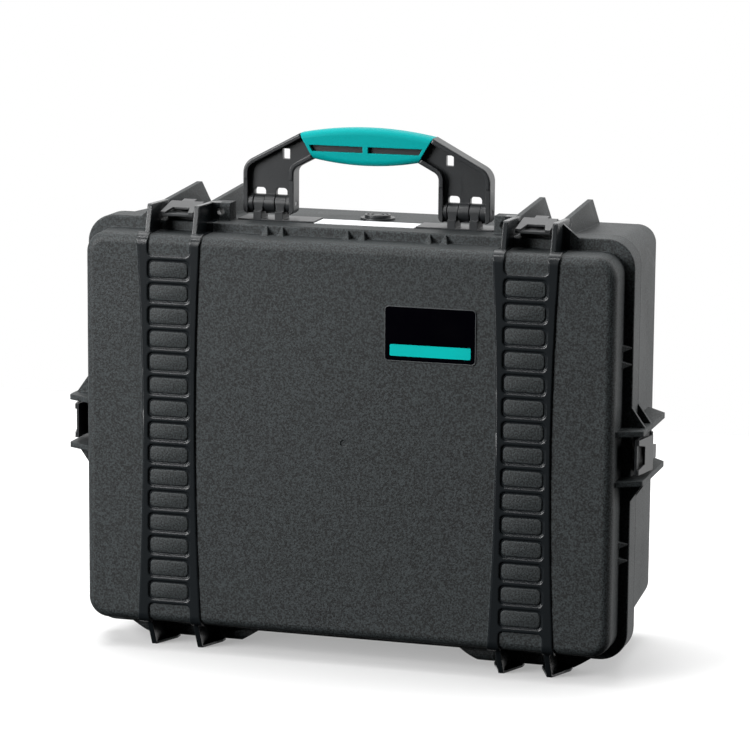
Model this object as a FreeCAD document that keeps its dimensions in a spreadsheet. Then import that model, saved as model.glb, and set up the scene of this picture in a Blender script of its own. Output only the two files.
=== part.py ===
"""Hard carrying case: ribbed lid on two bottom hinges, four two-stage latches and a folding handle.

The case stands upright as it is carried: X runs across it, Y from the lid's face to the base's back
and Z up. Pieces are drawn with Y = 0 on the parting plane and Z = 0 on the floor, and their
Placement then centres the whole depth on the origin.
"""
import FreeCAD
import Part
import Sketcher

import os
import re

SIZES = {
    # Lid moulding
    "lid_width": 520.0,
    "lid_height": 379.5,
    "lid_depth": 60.0,
    "lid_corner": 20.0,
    "lid_edge_round": 9.0,
    "lid_wall": 4.0,
    "lid_draft": 1.0,
    "flange_reach": 8.6,
    "flange_depth": 25.0,
    "flange_corner": 27.0,
    "flange_edge_round": 1.5,
    "rim_raise": 2.8,
    "gate_radius": 3.2,
    "gate_depth": 0.8,
    # Base moulding
    "base_depth": 156.0,
    "base_inset": 10.0,
    "base_draft": 2.2,
    "base_wall": 3.5,
    "base_corner": 18.0,
    "base_rear_round": 18.0,
    "base_rim_depth": 5.0,
    "base_lift": 15.0,
    "land_half": 132.0,
    "land_depth": 68.0,
    # Fits and cuts
    "part_gap": 0.3,
    "run_gap": 0.05,
    "side_gap": 0.5,
    "seat_gap": 0.2,
    "overrun": 2.0,
    "diagonal_share": 0.70711,
    # Ladder bands on the lid
    "ladder_x": 174.0,
    "rail_raise": 1.8,
    "rail_mid": 26.8,
    "rail_end": 32.3,
    "rung_round": 1.5,
    "rung_pitch": 22.3,
    "rung_width": 4.4,
    "rung_count": 16.0,
    "window_width": 41.2,
    "window_corner": 4.3,
    # Fins and webs round the latches
    "fin_offset": 23.5,
    "fin_thick": 5.0,
    "fin_round": 2.5,
    "fin_root": 12.0,
    "fin_front": 14.0,
    "fin_rise": 18.0,
    "fin_notch_rise": 16.5,
    "fin_peak_rise": 22.5,
    "fin_peak_y": 96.0,
    "fin_tail_y": 137.0,
    "side_fin_rise": 14.5,
    "side_fin_front": 20.0,
    "side_fin_peak_y": 56.0,
    "side_fin_tail_y": 80.0,
    "web_run": 18.0,
    "web_depth": 4.0,
    # Stiffening gussets between dome and flange
    "gusset_pitch": 80.0,
    "gusset_half_gap": 7.75,
    "gusset_half": 4.0,
    "gusset_ridge": 1.2,
    "gusset_run": 10.0,
    "side_gusset_pitch": 93.0,
    # Padlock lugs
    "lug_inner": 130.0,
    "lug_rise": 17.0,
    "lug_depth": 9.0,
    "lug_bore_x": 139.5,
    "lug_bore_rise": 8.5,
    "lug_bore_radius": 3.8,
    # Feet and hinges
    "foot_height": 17.8,
    "foot_front": 22.0,
    "foot_pad_thick": 2.5,
    "foot_pad_half": 14.0,
    "foot_pad_back": 10.0,
    "foot_pad_heel": 2.0,
    "hinge_rise": 9.2,
    "hinge_radius": 8.0,
    "hinge_pin_radius": 2.5,
    "hinge_base_half": 9.0,
    "hinge_lid_end": 37.5,
    "hinge_block_end": 54.0,
    "hinge_block_spread": 26.0,
    "hinge_block_depth": 30.0,
    "hinge_pin_out": 44.0,
    "hinge_pin_in": 52.0,
    "base_foot_start": 52.0,
    "base_foot_peak": 66.0,
    "base_foot_flat": 34.0,
    "base_foot_tail": 136.0,
    # Latches
    "latch_width": 33.0,
    "latch_pin_y": 8.0,
    "latch_pin_rise": 9.5,
    "latch_pin_radius": 2.0,
    "knuckle_radius": 4.0,
    "lip_front": 38.0,
    "lip_under": 6.0,
    "lip_thick": 2.2,
    "lip_back": 4.0,
    "claw_gap": 0.5,
    "claw_front": 17.0,
    "claw_back": 9.5,
    "lever_front": 37.5,
    "lever_rest": 0.2,
    "lever_thick": 2.0,
    "lever_rise": 8.1,
    "lever_back": 5.0,
    "lever_toe": 3.0,
    "lever_toe_rise": 1.6,
    "lever_notch_front": 24.0,
    "lever_notch_back": 17.0,
    "lever_notch_depth": 14.0,
    "tongue_half": 6.3,
    "tongue_back": 2.5,
    "tongue_rise": 1.2,
    "lever_pin_y": 6.0,
    "lever_pin_rise": 10.5,
    "lever_pin_radius": 1.0,
    "lever_boss_radius": 1.9,
    "lever_boss_half": 11.0,
    "lever_ear_half": 14.5,
    # Handle
    "handle_y": 15.0,
    "handle_thick": 20.0,
    "handle_pivot_rise": 16.0,
    "arm_outer": 122.0,
    "arm_inner": 71.4,
    "arm_bottom": 6.0,
    "arm_shoulder": 54.6,
    "arm_elbow": 50.5,
    "arm_step_rise": 39.0,
    "arm_step": 0.8,
    "arm_round": 16.0,
    "elbow_round": 8.0,
    "toe_round": 5.0,
    "rim_round": 1.8,
    "rim_thick": 4.5,
    "rim_slope_share": 0.6,
    "rim_end_share": 0.9,
    "rim_inset_share": 0.4,
    "web_thick": 6.0,
    "barrel_radius": 9.0,
    "arch_inner": 79.5,
    "arch_width": 11.5,
    "arch_post": 10.0,
    "arch_rise": 31.0,
    "arch_round": 3.5,
    "arm_window_x": 77.0,
    "arm_window_width": 7.5,
    "arm_window_rise": 59.0,
    "arm_window_height": 10.0,
    "arm_window_corner": 1.0,
    "grip_top_half": 65.5,
    "grip_top_rise": 85.0,
    "grip_bottom_half": 51.5,
    "grip_bottom_rise": 61.0,
    "grip_crown": 6.5,
    "grip_belly": 5.0,
    "grip_thick": 22.0,
    "grip_round": 6.0,
    "grip_slot_inner": 2.5,
    "grip_slot_border": 3.5,
    "grip_slot_rise": 68.5,
    "grip_slot_height": 6.0,
    "core_bottom_rise": 64.0,
    "core_top_rise": 80.0,
    "core_thick": 13.0,
    "handle_pin_radius": 2.5,
    # Handle mounts
    "mount_inner": 50.5,
    "mount_outer": 126.0,
    "mount_front": 3.0,
    "mount_back": 34.0,
    "mount_thick": 1.4,
    "mount_knuckle_radius": 8.3,
    "hook_width": 8.0,
    "stop_front": 12.0,
    "stop_rise": 9.0,
    "screw_radius": 2.0,
    "screw_head_radius": 3.8,
    "screw_head_height": 2.4,
    "screw_bite": 6.0,
    "screw_y": 11.0,
    # Pressure valve
    "valve_y": 48.0,
    "valve_radius": 16.5,
    "valve_flange": 2.2,
    "valve_stem_radius": 8.0,
    "valve_stem_length": 14.0,
    "valve_cap_radius": 12.5,
    "valve_cap_height": 2.8,
    "valve_ring_width": 2.0,
    "valve_ring_depth": 0.8,
    "valve_seal_radius": 11.0,
    "valve_seal_thick": 1.2,
    "valve_nut_radius": 13.0,
    "valve_nut_height": 5.0,
    # Seal, plates and label
    "seal_width": 5.0,
    "seal_depth": 3.5,
    "plate_left": 40.5,
    "plate_width": 86.0,
    "plate_height": 50.0,
    "plate_rise": 82.7,
    "plate_corner": 3.0,
    "plate_thick": 1.2,
    "plate_sink": 0.8,
    "inlay_margin": 4.0,
    "inlay_height": 11.0,
    "inlay_thick": 0.4,
    "label_half": 49.5,
    "label_front": 1.0,
    "label_back": 31.0,
    "label_thick": 0.4,
}

# Places worked out from the sizes, in the same words
DERIVED = {
    "lid_half": "lid_width / 2",
    "flange_half": "lid_width / 2 + flange_reach",
    "lid_bottom": "foot_height + flange_reach",
    "lid_top": "foot_height + flange_reach + lid_height",
    "mid_z": "foot_height + flange_reach + lid_height / 2",
    "flange_bottom": "foot_height",
    "flange_top": "foot_height + lid_height + 2 * flange_reach",
    "base_half": "flange_half - base_inset",
    "base_bottom": "foot_height + base_lift",
    "part_y": "(lid_depth + rail_raise - base_depth) / 2",
    "window_height": "rung_pitch - rung_width",
    "first_window_z": "mid_z - (rung_count / 2 - 1) * rung_pitch",
    "ladder_half": "lid_height / 2 + rail_raise",
    "lip_top": "lip_under + lip_thick",
    "pivot_z": "flange_top + handle_pivot_rise",
    "arch_outer": "arch_inner + arch_width + arch_post",
    "grip_slope": "(grip_top_half - grip_bottom_half) / (grip_top_rise - grip_bottom_rise)",
    "core_bottom_half": "grip_bottom_half + grip_slope * (core_bottom_rise - grip_bottom_rise) + overrun",
    "core_top_half": "grip_bottom_half + grip_slope * (core_top_rise - grip_bottom_rise) + overrun",
    "slot_bottom_half": "grip_bottom_half + grip_slope * (grip_slot_rise - grip_bottom_rise)",
    "slot_top_half": "slot_bottom_half + grip_slope * grip_slot_height",
}

X_AXIS = FreeCAD.Vector(1, 0, 0)
Y_AXIS = FreeCAD.Vector(0, 1, 0)
Z_AXIS = FreeCAD.Vector(0, 0, 1)
ROD_TURN = {
    "X": FreeCAD.Rotation(Y_AXIS, 90),
    "Y": FreeCAD.Rotation(X_AXIS, -90),
    "Z": FreeCAD.Rotation(),
}
TOUCH = 1e-3

doc = FreeCAD.newDocument("hard_case")
dims = doc.addObject("Spreadsheet::Sheet", "dims")
for row, (alias, size) in enumerate(SIZES.items(), start=1):
    dims.set(f"A{row}", alias)
    dims.set(f"B{row}", str(size))
    dims.setAlias(f"B{row}", alias)
doc.recompute()

sub_parts = []


def ex(words):
    """Expression for the sheet, with derived places written out in driving sizes."""
    def swap(found):
        word = found.group(0)
        if word in DERIVED:
            return f"({ex(DERIVED[word])})"
        return f"dims.{word}" if word in SIZES else word
    return re.sub(r"[a-z][a-z0-9_]*", swap, str(words))


def value(words):
    """Present value of an expression."""
    return float(dims.evalExpression(ex(words)))


def place(obj, at, turn=None):
    """Bind an object's Placement to three expressions."""
    if turn:
        obj.Placement = FreeCAD.Placement(FreeCAD.Vector(), turn)
    for axis, words in zip("xyz", at):
        if str(words) != "0":
            obj.setExpression(f"Placement.Base.{axis}", ex(words))


def keep(obj, label, at=("0", "part_y", "0"), turn=None):
    """Name a finished sub-part and put it in the part's own frame."""
    obj.Label = label
    place(obj, at, turn)
    sub_parts.append(obj)


def draw(body, plane, outline, name):
    """Closed sketch on one of the body's planes. A corner's third entry is a point that the arc
    from it to the next corner passes through."""
    sketch = body.newObject("Sketcher::SketchObject", name)
    support = next(f for f in body.Origin.OriginFeatures if f.Role == plane)
    sketch.AttachmentSupport = [(support, "")]
    sketch.MapMode = "FlatFace"
    spots = [FreeCAD.Vector(value(corner[0]), value(corner[1]), 0) for corner in outline]
    count = len(outline)
    ends = []
    for i, corner in enumerate(outline):
        start, stop = spots[i], spots[(i + 1) % count]
        if len(corner) > 2:
            through = FreeCAD.Vector(value(corner[2][0]), value(corner[2][1]), 0)
            sketch.addGeometry(Part.Arc(start, through, stop), False)
            forward = sketch.getPoint(i, 1).distanceToPoint(start) < TOUCH
            ends.append((1, 2) if forward else (2, 1))
        else:
            sketch.addGeometry(Part.LineSegment(start, stop), False)
            ends.append((1, 2))
    for i in range(count):
        after = (i + 1) % count
        sketch.addConstraint(Sketcher.Constraint("Coincident", i, ends[i][1], after, ends[after][0]))

    def tie(geometry, vertex, spot, words):
        for kind, at, text in (("DistanceX", spot.x, words[0]), ("DistanceY", spot.y, words[1])):
            index = sketch.addConstraint(Sketcher.Constraint(kind, -1, 1, geometry, vertex, at))
            sketch.setExpression(f"Constraints[{index}]", ex(text))

    for i, corner in enumerate(outline):
        tie(i, ends[i][0], spots[i], corner)
        if len(corner) > 2:
            through = FreeCAD.Vector(value(corner[2][0]), value(corner[2][1]), 0)
            point = sketch.addGeometry(Part.Point(through), True)
            tie(point, 1, through, corner[2])
            sketch.addConstraint(Sketcher.Constraint("PointOnObject", point, 1, i))
    return sketch


def prism(name, plane, outline, length, at=("0", "0", "0"), back=False, taper=None):
    """Body padded from one outline. Pads run to -Y, +X or +Z, and the other way with back."""
    body = doc.addObject("PartDesign::Body", name)
    pad = body.newObject("PartDesign::Pad", f"{name}_pad")
    pad.Profile = draw(body, plane, outline, f"{name}_outline")
    pad.Reversed = back
    pad.setExpression("Length", ex(length))
    if taper:
        pad.setExpression("TaperAngle", ex(taper))
    place(body, at)
    body.Tip = pad
    doc.recompute()
    return body


def soften(body, radius, pick):
    """Round the picked edges of a body's last feature."""
    tip = body.Tip
    edges = [f"Edge{i}" for i, edge in enumerate(tip.Shape.Edges, start=1) if pick(edge, tip.Shape)]
    fillet = body.newObject("PartDesign::Fillet", f"{body.Name}_round")
    fillet.Base = (tip, edges)
    fillet.setExpression("Radius", ex(radius))
    body.Tip = fillet
    doc.recompute()
    return body


def along(direction):
    """Picks straight edges that run along a direction, drafted ones too."""
    def pick(edge, shape):
        way = edge.tangentAt(edge.FirstParameter)
        return abs(way.dot(direction)) > 0.9
    return pick


def near(direction, spots):
    """Picks edges along a direction through spots given by the other two coordinates."""
    seats = [tuple(value(words) for words in spot) for spot in spots]

    def pick(edge, shape):
        if not along(direction)(edge, shape):
            return False
        flat = [at for at, way in zip(edge.CenterOfMass, direction) if not way]
        return any(abs(flat[0] - a) + abs(flat[1] - b) < TOUCH for a, b in seats)
    return pick


def at_y(side):
    """Picks the edges that lie in the body's front (-1) or back (+1) face."""
    def pick(edge, shape):
        face = max(side * vertex.Y for vertex in shape.Vertexes)
        return all(abs(side * vertex.Y - face) < TOUCH for vertex in edge.Vertexes)
    return pick


def pocket(body, name, outline, depth):
    """Cut one outline through a body from its back plane to its front."""
    hole = body.newObject("PartDesign::Pocket", name)
    hole.Profile = draw(body, "XZ_Plane", outline, f"{name}_outline")
    hole.Reversed = True
    hole.setExpression("Length", ex(f"{depth} + overrun"))
    body.Tip = hole
    doc.recompute()
    return hole


def rectangle(x0, z0, x1, z1):
    return [(x0, z0), (x1, z0), (x1, z1), (x0, z1)]


def rounded(x, z, width, height, corner):
    """Rectangle about a centre with four corner arcs."""
    outline = []
    for sx, sz in ((-1, -1), (1, -1), (1, 1), (-1, 1)):
        edge_x = f"{x} + {sx} * ({width}) / 2"
        edge_z = f"{z} + {sz} * ({height}) / 2"
        near_x = f"{edge_x} - {sx} * {corner}"
        near_z = f"{edge_z} - {sz} * {corner}"
        swing = f"{corner} * diagonal_share"
        through = (f"{near_x} + {sx} * {swing}", f"{near_z} + {sz} * {swing}")
        first, last = (edge_x, near_z), (near_x, edge_z)
        if sx * sz < 0:
            first, last = last, first
        outline += [(*first, through), last]
    return outline


def rod(name, radius, length, axis, at):
    obj = doc.addObject("Part::Cylinder", name)
    obj.setExpression("Radius", ex(radius))
    obj.setExpression("Height", ex(length))
    place(obj, at, ROD_TURN[axis])
    return obj


def block(name, low, high):
    obj = doc.addObject("Part::Box", name)
    for side, start, stop in zip(("Length", "Width", "Height"), low, high):
        obj.setExpression(side, ex(f"({stop}) - ({start})"))
    place(obj, low)
    return obj


def join(name, *shapes):
    obj = doc.addObject("Part::MultiFuse", name)
    obj.Shapes = list(shapes)
    return obj


def cut(name, base, *tools):
    obj = doc.addObject("Part::Cut", name)
    obj.Base = base
    obj.Tool = tools[0] if len(tools) == 1 else join(f"{name}_tools", *tools)
    return obj


def common(name, *shapes):
    obj = doc.addObject("Part::MultiCommon", name)
    obj.Shapes = list(shapes)
    return obj


def group(name, *shapes):
    obj = doc.addObject("Part::Compound", name)
    obj.Links = list(shapes)
    return obj


def side_name(side):
    return "left" if side < 0 else "right"


def dome(name, grow, depth):
    """Lid form: drafted, with round corners and a round front edge, grown by a wall or a raise."""
    half, top, bottom = f"lid_half + {grow}", f"lid_top + {grow}", f"lid_bottom - ({grow})"
    body = prism(name, "XZ_Plane", rectangle(f"-({half})", bottom, half, top), depth,
                 at=("0", "-part_gap / 2", "0"), taper="-lid_draft")
    soften(body, f"lid_corner + {grow}", along(Y_AXIS))
    return soften(body, f"lid_edge_round + {grow}", at_y(-1))


def rim(name, reach, depth, back, corner):
    """Flat frame plate on the parting plane, reaching past the dome."""
    half, top, bottom = f"lid_half + {reach}", f"lid_top + {reach}", f"lid_bottom - ({reach})"
    start = "part_gap / 2" if back else "-part_gap / 2"
    body = prism(name, "XZ_Plane", rectangle(f"-({half})", bottom, half, top), depth,
                 at=("0", start, "0"), back=back)
    return soften(body, corner, along(Y_AXIS))


def flange(name, depth, back):
    """Rim plate whose ends outside the outer fins stand higher than the deck between them."""
    middle, high = "ladder_x + fin_offset", "flange_top + rim_raise"
    corners = [("-flange_half", "flange_bottom"), ("flange_half", "flange_bottom"), ("flange_half", high),
               ("-flange_half", high)]
    outline = [*corners[:3], (middle, high), (middle, "flange_top"), (f"-({middle})", "flange_top"),
               (f"-({middle})", high), corners[3]]
    start = "part_gap / 2" if back else "-part_gap / 2"
    body = prism(name, "XZ_Plane", outline, depth, at=("0", start, "0"), back=back)
    soften(body, "flange_corner", near(Y_AXIS, corners))

    def rounded_edge(edge, shape):
        step = abs(abs(edge.CenterOfMass.x) - value(middle)) < TOUCH
        return at_y(1 if back else -1)(edge, shape) and not step

    return soften(body, "flange_edge_round", rounded_edge)


def ladder(side):
    """Raised rails and rungs over the lid's face, still to be trimmed to the raised dome."""
    name = f"ladder_{side_name(side)}"
    centre = f"{side} * ladder_x"
    low, high = "mid_z - ladder_half", "mid_z + ladder_half"
    outline = [(f"{centre} - rail_end", low),
               (f"{centre} + rail_end", low, (f"{centre} + rail_mid", "mid_z")),
               (f"{centre} + rail_end", high),
               (f"{centre} - rail_end", high, (f"{centre} - rail_mid", "mid_z"))]
    depth = "lid_edge_round + rail_raise"
    body = prism(name, "XZ_Plane", outline, depth, at=("0", "-(lid_depth - lid_edge_round)", "0"))
    window = rounded(centre, "first_window_z", "window_width", "window_height", "window_corner")
    first = pocket(body, f"{name}_window", window, depth)
    pattern = body.newObject("PartDesign::LinearPattern", f"{name}_pattern")
    pattern.Originals = [first]
    axis = next(f for f in body.Origin.OriginFeatures if f.Role == "Z_Axis")
    pattern.Direction = (axis, [""])
    pattern.setExpression("Length", ex("(rung_count - 2) * rung_pitch"))
    pattern.setExpression("Occurrences", ex("rung_count - 1"))
    body.Tip = pattern
    doc.recompute()
    for hand in (-1, 1):
        z = f"mid_z + {hand} * (rung_count / 2 * rung_pitch + window_height / 2)"
        end = rounded(centre, z, "window_width", "2 * window_height", "window_corner")
        pocket(body, f"{name}_end_{hand + 1}", end, depth)
    ends = value("ladder_half") - TOUCH

    def crest(edge, shape):
        middle = edge.valueAt((edge.FirstParameter + edge.LastParameter) / 2)
        return at_y(-1)(edge, shape) and abs(middle.z - value("mid_z")) < ends

    return soften(body, "rung_round", crest)


def fin(name, outline, plane, at, rounds):
    """Upright plate of the fin thickness with some of its corners rounded."""
    body = prism(name, plane, outline, "fin_thick", at=at)
    direction = X_AXIS if plane == "YZ_Plane" else Z_AXIS
    return soften(body, "fin_round", near(direction, rounds))


def lid_fins():
    shapes = []
    gap = "-part_gap / 2"
    for side in (-1, 1):
        for hand in (-1, 1):
            tag = f"{side_name(side)}_{side_name(hand)}"
            x = f"{side} * ladder_x + {hand} * fin_offset - fin_thick / 2"
            tip = ("-(lid_depth - fin_front)", "flange_top + fin_rise")
            top = [("-(lid_depth - overrun)", "lid_top - fin_root"), tip,
                   (gap, "flange_top + fin_notch_rise"), (gap, "lid_top - fin_root")]
            shapes.append(fin(f"lid_fin_{tag}", top, "YZ_Plane", (x, "0", "0"), [tip]))
            toe = ("-(lid_depth - foot_front)", "0")
            foot = [("-(lid_depth - overrun)", "lid_bottom + fin_root"), (gap, "lid_bottom + fin_root"),
                    (gap, "hinge_rise - hinge_radius"), ("-foot_pad_back", "0"), toe]
            shapes.append(fin(f"lid_foot_{tag}", foot, "YZ_Plane", (x, "0", "0"), [toe]))
            z = f"mid_z + {hand} * fin_offset - fin_thick / 2"
            corner = (f"{side} * (flange_half + side_fin_rise)", "-(lid_depth - side_fin_front)")
            root, edge = f"{side} * (lid_half - fin_root)", f"{side} * (flange_half + side_fin_rise)"
            flank = [(root, "-(lid_depth - overrun)"), corner, (edge, gap), (root, gap)]
            shapes.append(fin(f"lid_side_fin_{tag}", flank, "XY_Plane", ("0", "0", z), [corner]))
    return shapes


def base_fins():
    shapes = []
    gap = "part_gap / 2"
    wall = "base_inset + base_wall"
    for side in (-1, 1):
        for hand in (-1, 1):
            tag = f"{side_name(side)}_{side_name(hand)}"
            x = f"{side} * ladder_x + {hand} * fin_offset - fin_thick / 2"
            peak = ("fin_peak_y", "flange_top + fin_peak_rise")
            top = [(gap, "flange_top - fin_root"), (gap, "flange_top + fin_notch_rise"), peak,
                   ("fin_tail_y", "flange_top - fin_root")]
            shapes.append(fin(f"base_fin_{tag}", top, "YZ_Plane", (x, "0", "0"), [peak]))
            heel = ("base_foot_peak", "0")
            sole = ("base_foot_peak + base_foot_flat", "0")
            foot = [("base_foot_start", "base_bottom + fin_root"), heel, sole,
                    ("base_foot_tail", "base_bottom + fin_root")]
            shapes.append(fin(f"base_foot_{tag}", foot, "YZ_Plane", (x, "0", "0"), [heel, sole]))
            z = f"mid_z + {hand} * fin_offset - fin_thick / 2"
            corner = (f"{side} * (flange_half + side_fin_rise)", "side_fin_peak_y")
            root, edge = f"{side} * (flange_half - {wall})", f"{side} * (flange_half + side_fin_rise)"
            flank = [(root, gap), (edge, gap), corner, (root, "side_fin_tail_y")]
            shapes.append(fin(f"base_side_fin_{tag}", flank, "XY_Plane", ("0", "0", z), [corner]))
    return shapes


def webs(prefix, back):
    """Triangular webs that brace the side fins and, at the lid's front, the outer fin of each top pair."""
    shapes = []
    start = "part_gap / 2" if back else "web_depth - flange_depth"
    for side in (-1, 1):
        for hand in (-1, 1):
            tag = f"{side_name(side)}_{side_name(hand)}"
            if hand == side and not back:
                x = f"{side} * ladder_x + {hand} * fin_offset"
                end = f"{x} + {hand} * (web_run + fin_thick / 2)"
                root = "flange_top - flange_reach"
                top = [(x, root), (end, root), (end, "flange_top"), (x, "flange_top + fin_notch_rise")]
                shapes.append(prism(f"{prefix}_web_{tag}", "XZ_Plane", top, "web_depth",
                                    at=("0", start, "0")))
            z = f"mid_z + {hand} * fin_offset"
            end = f"{z} + {hand} * (web_run + fin_thick / 2)"
            edge = f"{side} * (flange_half - flange_reach)"
            flank = [(edge, z), (f"{side} * (flange_half + side_fin_rise)", z),
                     (f"{side} * flange_half", end), (edge, end)]
            shapes.append(prism(f"{prefix}_side_web_{tag}", "XZ_Plane", flank, "web_depth",
                                at=("0", start, "0"), back=back))
    return shapes


def gusset(name, at, angle):
    """Pyramid rib that leans from a wall of the dome against the flange, turned about Y to its wall."""
    rib = doc.addObject("Part::Wedge", name)
    for end, words in {"Xmin": "-gusset_half", "Xmax": "gusset_half", "Ymin": "-overrun",
                       "Ymax": "flange_reach - flange_edge_round", "Zmin": "-overrun", "Zmax": "gusset_run",
                       "X2min": "-gusset_ridge / 2", "X2max": "gusset_ridge / 2", "Z2min": "-overrun",
                       "Z2max": "gusset_ridge"}.items():
        rib.setExpression(end, ex(words))
    place(rib, at, FreeCAD.Rotation(Y_AXIS, angle) * FreeCAD.Rotation(X_AXIS, 90))
    return rib


def gussets():
    """Pairs of ribs on all four walls of the dome."""
    shapes = []
    for hand in (-1, 1):
        for number in (-1, 0, 1):
            x = f"{number} * gusset_pitch + {hand} * gusset_half_gap"
            tag = f"{number + 1}_{side_name(hand)}"
            shapes.append(gusset(f"gusset_top_{tag}", (x, "-flange_depth", "lid_top"), 0))
            shapes.append(gusset(f"gusset_bottom_{tag}", (x, "-flange_depth", "lid_bottom"), 180))
        for number in (-1, 1):
            z = f"mid_z + {number} * side_gusset_pitch + {hand} * gusset_half_gap"
            for side in (-1, 1):
                shapes.append(gusset(f"gusset_{side_name(side)}_{number + 1}_{side_name(hand)}",
                                     (f"{side} * lid_half", "-flange_depth", z), 90 * side))
    return shapes


def lugs(prefix, low_y, high_y):
    """Padlock lugs beside the inner top fins."""
    shapes = []
    for side in (-1, 1):
        inner, outer = "lug_inner", "ladder_x - fin_offset"
        low, high = (inner, outer) if side > 0 else (f"-({outer})", f"-{inner}")
        shapes.append(block(f"{prefix}_lug_{side_name(side)}", (low, low_y, "flange_top - flange_reach"),
                            (high, high_y, "flange_top + lug_rise")))
    return shapes


def lug_bores(prefix):
    return [rod(f"{prefix}_lug_bore_{side_name(side)}", "lug_bore_radius", "2 * (lug_depth + overrun)", "Y",
                (f"{side} * lug_bore_x", "-(lug_depth + overrun)", "flange_top + lug_bore_rise"))
            for side in (-1, 1)]


def hinge_bores(prefix):
    """Holes for the hinge pins: open at the outer end and blind in the base's inner block."""
    outer, inner = "hinge_lid_end + hinge_block_spread + overrun", "hinge_pin_in + seat_gap"
    shapes = []
    for side in (-1, 1):
        low = f"{side} * ladder_x - ({inner if side > 0 else outer})"
        shapes.append(rod(f"{prefix}_hinge_bore_{side_name(side)}", "hinge_pin_radius + run_gap",
                          f"{outer} + {inner}", "X", (low, "0", "hinge_rise")))
    return shapes


def slant(name, start, way):
    """Room under the slanted end of a hinge block, from the block's foot towards way."""
    low = "hinge_rise - hinge_radius"
    end = f"{start} + {way} * hinge_block_spread"
    far = f"{end} + {way} * overrun"
    outline = [(start, f"{low} - overrun"), (far, f"{low} - overrun"), (far, "flange_bottom"),
               (end, "flange_bottom"), (start, low)]
    return prism(name, "XZ_Plane", outline, "2 * (hinge_block_depth + overrun)",
                 at=("0", "hinge_block_depth + overrun", "0"))


def lid_hinges():
    """Lid knuckles round the feet, with their floor pads and a slanted outer end."""
    shapes = []
    for side in (-1, 1):
        for hand in (-1, 1):
            tag = f"{side_name(side)}_{side_name(hand)}"
            x = f"{side} * ladder_x + {hand} * fin_offset"
            toe, knee, heel = "-(lid_depth - foot_front)", "-foot_pad_back", "-foot_pad_heel"
            left, right = f"{x} - foot_pad_half", f"{x} + foot_pad_half"
            pad = [(f"{x} - fin_thick / 2", toe), (f"{x} + fin_thick / 2", toe), (right, knee), (right, heel),
                   (left, heel), (left, knee)]
            shapes.append(prism(f"foot_pad_{tag}", "XY_Plane", pad, "foot_pad_thick"))
            reach = "hinge_lid_end + hinge_block_spread" if hand == side else "hinge_lid_end"
            span = ("hinge_base_half + side_gap", reach)
            ends = [f"{side} * ladder_x + {hand} * ({words})" for words in span]
            low, high = ends if hand > 0 else ends[::-1]
            width = f"({high}) - ({low})"
            knuckle = rod(f"lid_knuckle_{tag}", "hinge_radius", width, "X", (low, "0", "hinge_rise"))
            top = "flange_bottom + overrun"
            front, back = "-hinge_radius", "-part_gap / 2"
            neck = prism(f"lid_neck_{tag}", "YZ_Plane", rectangle(front, "hinge_rise", back, top), width,
                         at=(low, "0", "0"))
            if hand == side:
                room = slant(f"lid_slant_{tag}", f"{side} * (ladder_x + hinge_lid_end)", side)
                shapes.append(cut(f"lid_hinge_end_{tag}", join(f"lid_hinge_bar_{tag}", knuckle, neck), room))
            else:
                shapes += [knuckle, neck]
    return shapes


def base_hinges():
    """Base knuckles: one between the lid's pair and a wide block with a slanted end on the inner side."""
    shapes = []
    for side in (-1, 1):
        name = side_name(side)
        spans = {"mid": ("-hinge_base_half", "hinge_base_half"),
                 "inner": ("hinge_lid_end + side_gap", "hinge_block_end + hinge_block_spread")}
        for part, span in spans.items():
            ends = [f"{side} * ladder_x - {side} * ({words})" for words in span]
            low, high = ends if side < 0 else ends[::-1]
            width = f"({high}) - ({low})"
            knuckle = rod(f"base_knuckle_{name}_{part}", "hinge_radius", width, "X", (low, "0", "hinge_rise"))
            front, foot, head = "part_gap / 2", "hinge_rise - hinge_radius", "base_bottom + base_wall / 2"
            side_view = [(front, foot), ("hinge_radius", foot), ("hinge_block_depth", "base_bottom"),
                         ("hinge_block_depth", head), (front, head)]
            bracket = prism(f"base_bracket_{name}_{part}", "YZ_Plane", side_view, width, at=(low, "0", "0"))
            if part == "inner":
                room = slant(f"base_slant_{name}", f"{side} * (ladder_x - hinge_block_end)", -side)
                bar = join(f"base_hinge_bar_{name}", knuckle, bracket)
                shapes.append(cut(f"base_hinge_end_{name}", bar, room))
            else:
                shapes += [knuckle, bracket]
    return shapes


def latch_bores(prefix):
    """Holes for the claw pins through the base's fins."""
    shapes = []
    reach = "fin_offset + fin_thick"
    for side in (-1, 1):
        top = (f"{side} * ladder_x - ({reach})", "latch_pin_y", "flange_top + latch_pin_rise")
        flank = (f"{side} * (flange_half + latch_pin_rise)", "latch_pin_y", f"mid_z - ({reach})")
        for name, axis, at in (("top", "X", top), ("side", "Z", flank)):
            shapes.append(rod(f"{prefix}_{name}_pin_bore_{side_name(side)}", "latch_pin_radius + run_gap",
                              f"2 * ({reach})", axis, at))
    return shapes


def seal_ring(name, inset):
    """Rectangular ring round the mouth, inset from the groove's walls."""
    reach = f"seal_width - {inset}"
    outer = rim(f"{name}_outer", reach, "seal_depth", False, f"lid_corner + {reach}")
    inner = rim(f"{name}_inner", inset, "seal_depth + overrun", False, f"lid_corner + {inset}")
    return cut(name, outer, inner)


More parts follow.
